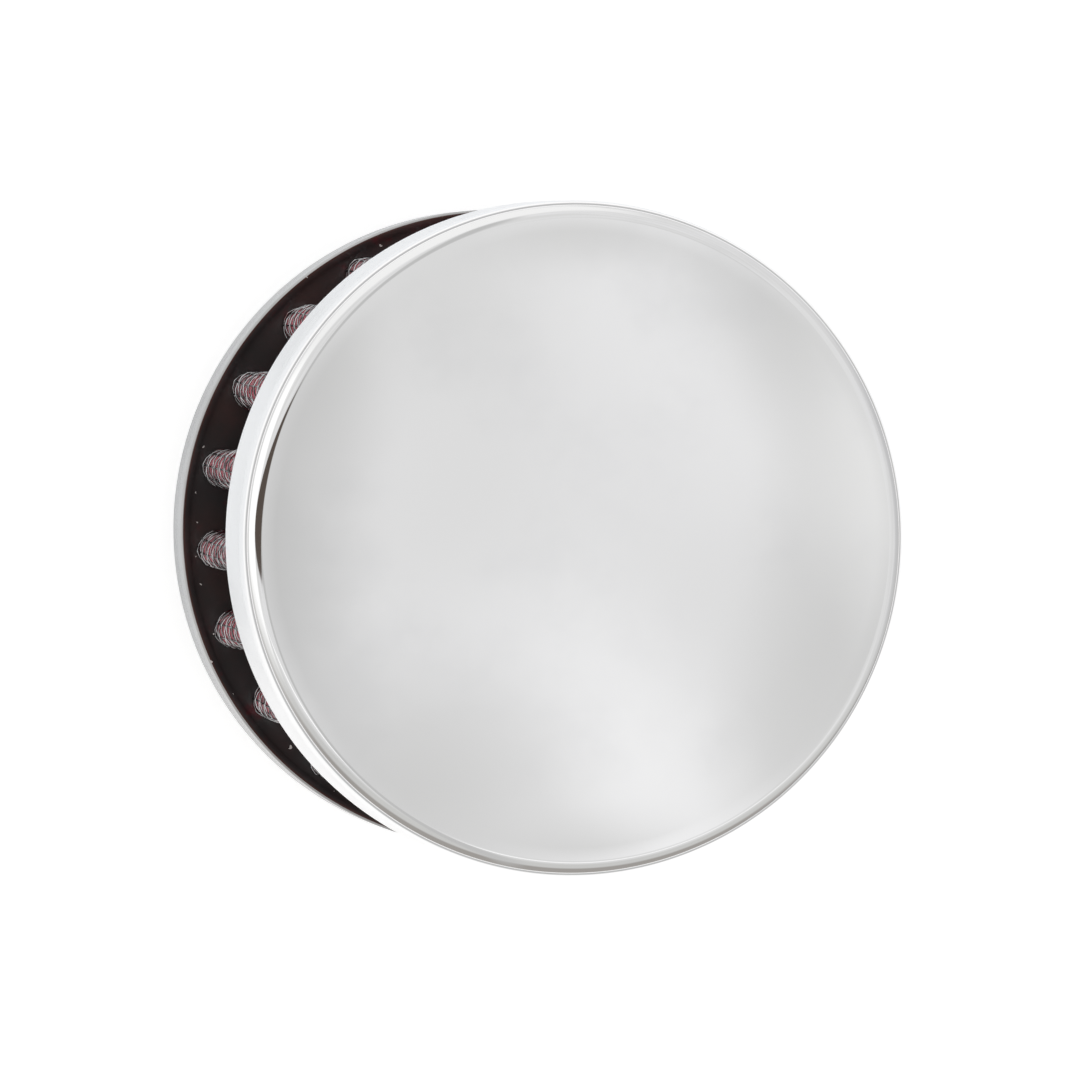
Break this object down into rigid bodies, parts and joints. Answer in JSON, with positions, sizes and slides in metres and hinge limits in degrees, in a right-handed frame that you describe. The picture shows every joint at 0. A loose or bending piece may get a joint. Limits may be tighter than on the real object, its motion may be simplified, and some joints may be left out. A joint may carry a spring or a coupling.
{
  "type": "crankcase breather filter",
  "caption": "Round breather filter: pleated red cotton in silver wire cloth between a chrome cap and a sheet-metal base cup, with a slotted clamp-on neck tube.",
  "frame": {"origin": "centre of the neck tube's mouth, where the vent pipe goes in", "axes": "+Z along the filter's axis, from the neck's mouth towards the cap"},
  "size_m": [0.0762, 0.0762, 0.0683],
  "materials": {
    "plated_steel": "plain bright plated sheet",
    "black_resin": "glossy cast resin",
    "screen_wire": "bright drawn wire, plain weave",
    "red_cotton": "oiled loose-weave cotton",
    "chrome_plate": "mirror-bright plating"
  },
  "bodies": {
    "root": {"neck_tube": "plated_steel", "base_cup": "plated_steel", "base_potting": "black_resin", "outer_wire_screen": "screen_wire", "cotton_gauze": "red_cotton", "inner_wire_screen": "screen_wire", "cap_potting": "black_resin", "top_cap": "chrome_plate"}
  },
  "joints": []
}
